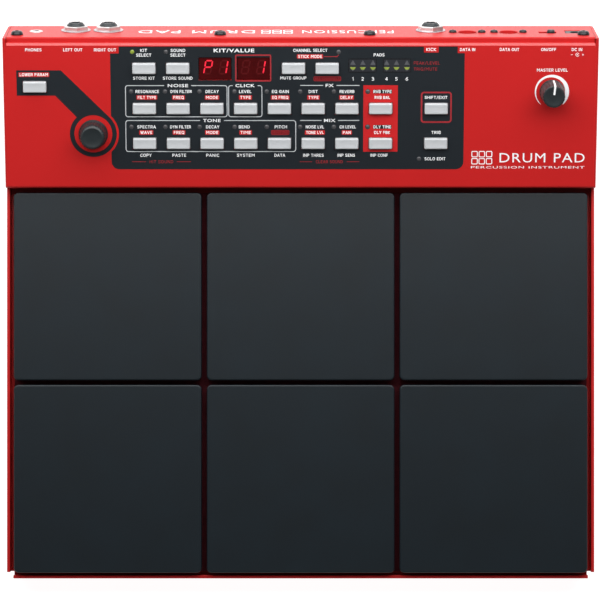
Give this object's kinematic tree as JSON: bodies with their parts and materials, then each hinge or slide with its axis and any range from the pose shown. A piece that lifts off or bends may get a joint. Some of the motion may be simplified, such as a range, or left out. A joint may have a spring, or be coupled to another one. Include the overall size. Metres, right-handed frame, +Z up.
{
  "type": "electronic drum pad",
  "caption": "Percussion instrument with square rubber playing pads in a shallow red steel tray and a tilted control panel with buttons, displays, knobs and rear sockets.",
  "frame": {"origin": "on the table under the centre of the instrument's bounding box", "axes": "+X to the player's right, +Y away from the player towards the rear sockets, +Z up"},
  "size_m": [0.375, 0.3556, 0.0639],
  "materials": {
    "red_enamel": "fine-textured satin powder coat",
    "pad_rubber": "matt moulded rubber, slightly speckled",
    "zinc_steel": "zinc-plated sheet",
    "black_foam": "open-cell foam",
    "grey_plastic": "light grey satin moulding",
    "circuit_board": "solder mask",
    "red_lens": "smoked red display filter",
    "black_plastic": "satin moulding",
    "foot_rubber": "matt",
    "nickel": "bright nickel plating on nuts, washers and contact rings",
    "black_steel": "black oxide screws",
    "printed_ink": "screen-printed ink on the control panel",
    "white_ink": "screen-printed legends",
    "lit_led": "lit indicator"
  },
  "bodies": {
    "chassis": {"base_tray": "red_enamel", "top_cover": "red_enamel", "rear_panel": "red_enamel", "control_board": "circuit_board", "io_board": "circuit_board", "pad_foam": "black_foam", "encoder_body": "black_plastic", "level_pot": "black_plastic", "display_left": "red_lens", "display_right": "red_lens", "left_out_jack": "black_plastic", "right_out_jack": "black_plastic", "kick_jack": "black_plastic", "phones_jack": "black_plastic", "din_in_socket": "black_plastic", "din_out_socket": "black_plastic", "dc_socket": "black_plastic", "power_switch_body": "black_plastic", "foot_front_left": "foot_rubber", "foot_front_right": "foot_rubber", "foot_rear_left": "foot_rubber", "foot_rear_right": "foot_rubber"},
    "button_bend": {"button_bend": "grey_plastic"},
    "button_channel_level": {"button_channel_level": "grey_plastic"},
    "button_channel_select": {"button_channel_select": "grey_plastic"},
    "button_click_level": {"button_click_level": "grey_plastic"},
    "button_delay_time": {"button_delay_time": "grey_plastic"},
    "button_distortion": {"button_distortion": "grey_plastic"},
    "button_eq_gain": {"button_eq_gain": "grey_plastic"},
    "button_kit_select": {"button_kit_select": "grey_plastic"},
    "button_lower_param": {"button_lower_param": "grey_plastic"},
    "button_mute_group": {"button_mute_group": "grey_plastic"},
    "button_noise_decay": {"button_noise_decay": "grey_plastic"},
    "button_noise_filter": {"button_noise_filter": "grey_plastic"},
    "button_noise_level": {"button_noise_level": "grey_plastic"},
    "button_noise_resonance": {"button_noise_resonance": "grey_plastic"},
    "button_pitch": {"button_pitch": "grey_plastic"},
    "button_reverb": {"button_reverb": "grey_plastic"},
    "button_reverb_type": {"button_reverb_type": "grey_plastic"},
    "button_shift": {"button_shift": "grey_plastic"},
    "button_sound_select": {"button_sound_select": "grey_plastic"},
    "button_tone_decay": {"button_tone_decay": "grey_plastic"},
    "button_tone_filter": {"button_tone_filter": "grey_plastic"},
    "button_tone_spectra": {"button_tone_spectra": "grey_plastic"},
    "button_trigger": {"button_trigger": "grey_plastic"},
    "pad_1": {"pad_rubber_1": "pad_rubber", "pad_plate_1": "zinc_steel"},
    "pad_2": {"pad_rubber_2": "pad_rubber", "pad_plate_2": "zinc_steel"},
    "pad_3": {"pad_rubber_3": "pad_rubber", "pad_plate_3": "zinc_steel"},
    "pad_4": {"pad_rubber_4": "pad_rubber", "pad_plate_4": "zinc_steel"},
    "pad_5": {"pad_rubber_5": "pad_rubber", "pad_plate_5": "zinc_steel"},
    "pad_6": {"pad_rubber_6": "pad_rubber", "pad_plate_6": "zinc_steel"},
    "encoder_knob": {"encoder_knob": "black_plastic"},
    "level_knob": {"level_knob": "black_plastic"},
    "power_switch_slider": {"power_switch_slider": "black_plastic"}
  },
  "joints": [
    {"name": "button_bend_press", "type": "slide", "parent": "chassis", "child": "button_bend", "axis": [0, 0.2504, -0.9681], "range_m": [0, 0.0007], "stiffness_N_per_m": 600, "springref_m": -0.001},
    {"name": "button_channel_level_press", "type": "slide", "parent": "chassis", "child": "button_channel_level", "axis": [0, 0.2504, -0.9681], "range_m": [0, 0.0007], "stiffness_N_per_m": 600, "springref_m": -0.001},
    {"name": "button_channel_select_press", "type": "slide", "parent": "chassis", "child": "button_channel_select", "axis": [0, 0.2504, -0.9681], "range_m": [0, 0.0007], "stiffness_N_per_m": 600, "springref_m": -0.001},
    {"name": "button_click_level_press", "type": "slide", "parent": "chassis", "child": "button_click_level", "axis": [0, 0.2504, -0.9681], "range_m": [0, 0.0007], "stiffness_N_per_m": 600, "springref_m": -0.001},
    {"name": "button_delay_time_press", "type": "slide", "parent": "chassis", "child": "button_delay_time", "axis": [0, 0.2504, -0.9681], "range_m": [0, 0.0007], "stiffness_N_per_m": 600, "springref_m": -0.001},
    {"name": "button_distortion_press", "type": "slide", "parent": "chassis", "child": "button_distortion", "axis": [0, 0.2504, -0.9681], "range_m": [0, 0.0007], "stiffness_N_per_m": 600, "springref_m": -0.001},
    {"name": "button_eq_gain_press", "type": "slide", "parent": "chassis", "child": "button_eq_gain", "axis": [0, 0.2504, -0.9681], "range_m": [0, 0.0007], "stiffness_N_per_m": 600, "springref_m": -0.001},
    {"name": "button_kit_select_press", "type": "slide", "parent": "chassis", "child": "button_kit_select", "axis": [0, 0.2504, -0.9681], "range_m": [0, 0.0007], "stiffness_N_per_m": 600, "springref_m": -0.001},
    {"name": "button_lower_param_press", "type": "slide", "parent": "chassis", "child": "button_lower_param", "axis": [0, 0.2504, -0.9681], "range_m": [0, 0.0007], "stiffness_N_per_m": 600, "springref_m": -0.001},
    {"name": "button_mute_group_press", "type": "slide", "parent": "chassis", "child": "button_mute_group", "axis": [0, 0.2504, -0.9681], "range_m": [0, 0.0007], "stiffness_N_per_m": 600, "springref_m": -0.001},
    {"name": "button_noise_decay_press", "type": "slide", "parent": "chassis", "child": "button_noise_decay", "axis": [0, 0.2504, -0.9681], "range_m": [0, 0.0007], "stiffness_N_per_m": 600, "springref_m": -0.001},
    {"name": "button_noise_filter_press", "type": "slide", "parent": "chassis", "child": "button_noise_filter", "axis": [0, 0.2504, -0.9681], "range_m": [0, 0.0007], "stiffness_N_per_m": 600, "springref_m": -0.001},
    {"name": "button_noise_level_press", "type": "slide", "parent": "chassis", "child": "button_noise_level", "axis": [0, 0.2504, -0.9681], "range_m": [0, 0.0007], "stiffness_N_per_m": 600, "springref_m": -0.001},
    {"name": "button_noise_resonance_press", "type": "slide", "parent": "chassis", "child": "button_noise_resonance", "axis": [0, 0.2504, -0.9681], "range_m": [0, 0.0007], "stiffness_N_per_m": 600, "springref_m": -0.001},
    {"name": "button_pitch_press", "type": "slide", "parent": "chassis", "child": "button_pitch", "axis": [0, 0.2504, -0.9681], "range_m": [0, 0.0007], "stiffness_N_per_m": 600, "springref_m": -0.001},
    {"name": "button_reverb_press", "type": "slide", "parent": "chassis", "child": "button_reverb", "axis": [0, 0.2504, -0.9681], "range_m": [0, 0.0007], "stiffness_N_per_m": 600, "springref_m": -0.001},
    {"name": "button_reverb_type_press", "type": "slide", "parent": "chassis", "child": "button_reverb_type", "axis": [0, 0.2504, -0.9681], "range_m": [0, 0.0007], "stiffness_N_per_m": 600, "springref_m": -0.001},
    {"name": "button_shift_press", "type": "slide", "parent": "chassis", "child": "button_shift", "axis": [0, 0.2504, -0.9681], "range_m": [0, 0.0007], "stiffness_N_per_m": 600, "springref_m": -0.001},
    {"name": "button_sound_select_press", "type": "slide", "parent": "chassis", "child": "button_sound_select", "axis": [0, 0.2504, -0.9681], "range_m": [0, 0.0007], "stiffness_N_per_m": 600, "springref_m": -0.001},
    {"name": "button_tone_decay_press", "type": "slide", "parent": "chassis", "child": "button_tone_decay", "axis": [0, 0.2504, -0.9681], "range_m": [0, 0.0007], "stiffness_N_per_m": 600, "springref_m": -0.001},
    {"name": "button_tone_filter_press", "type": "slide", "parent": "chassis", "child": "button_tone_filter", "axis": [0, 0.2504, -0.9681], "range_m": [0, 0.0007], "stiffness_N_per_m": 600, "springref_m": -0.001},
    {"name": "button_tone_spectra_press", "type": "slide", "parent": "chassis", "child": "button_tone_spectra", "axis": [0, 0.2504, -0.9681], "range_m": [0, 0.0007], "stiffness_N_per_m": 600, "springref_m": -0.001},
    {"name": "button_trigger_press", "type": "slide", "parent": "chassis", "child": "button_trigger", "axis": [0, 0.2504, -0.9681], "range_m": [0, 0.0007], "stiffness_N_per_m": 600, "springref_m": -0.001},
    {"name": "pad_1_strike", "type": "slide", "parent": "chassis", "child": "pad_1", "axis": [0, 0, -1], "range_m": [0, 0.0008], "stiffness_N_per_m": 20000, "springref_m": -0.0004},
    {"name": "pad_2_strike", "type": "slide", "parent": "chassis", "child": "pad_2", "axis": [0, 0, -1], "range_m": [0, 0.0008], "stiffness_N_per_m": 20000, "springref_m": -0.0004},
    {"name": "pad_3_strike", "type": "slide", "parent": "chassis", "child": "pad_3", "axis": [0, 0, -1], "range_m": [0, 0.0008], "stiffness_N_per_m": 20000, "springref_m": -0.0004},
    {"name": "pad_4_strike", "type": "slide", "parent": "chassis", "child": "pad_4", "axis": [0, 0, -1], "range_m": [0, 0.0008], "stiffness_N_per_m": 20000, "springref_m": -0.0004},
    {"name": "pad_5_strike", "type": "slide", "parent": "chassis", "child": "pad_5", "axis": [0, 0, -1], "range_m": [0, 0.0008], "stiffness_N_per_m": 20000, "springref_m": -0.0004},
    {"name": "pad_6_strike", "type": "slide", "parent": "chassis", "child": "pad_6", "axis": [0, 0, -1], "range_m": [0, 0.0008], "stiffness_N_per_m": 20000, "springref_m": -0.0004},
    {"name": "encoder_turn", "type": "hinge", "parent": "chassis", "child": "encoder_knob", "pos_m": [-0.1311, 0.10509, 0.03774], "axis": [0, -0.2504, 0.9681], "continuous": true},
    {"name": "level_turn", "type": "hinge", "parent": "chassis", "child": "level_knob", "pos_m": [0.1584, 0.13132, 0.04452], "axis": [0, -0.2504, 0.9681], "range_deg": [-150, 150]},
    {"name": "power_switch_slide", "type": "slide", "parent": "chassis", "child": "power_switch_slider", "axis": [1, 0, 0], "range_m": [-0.0042, 0]}
  ]
}
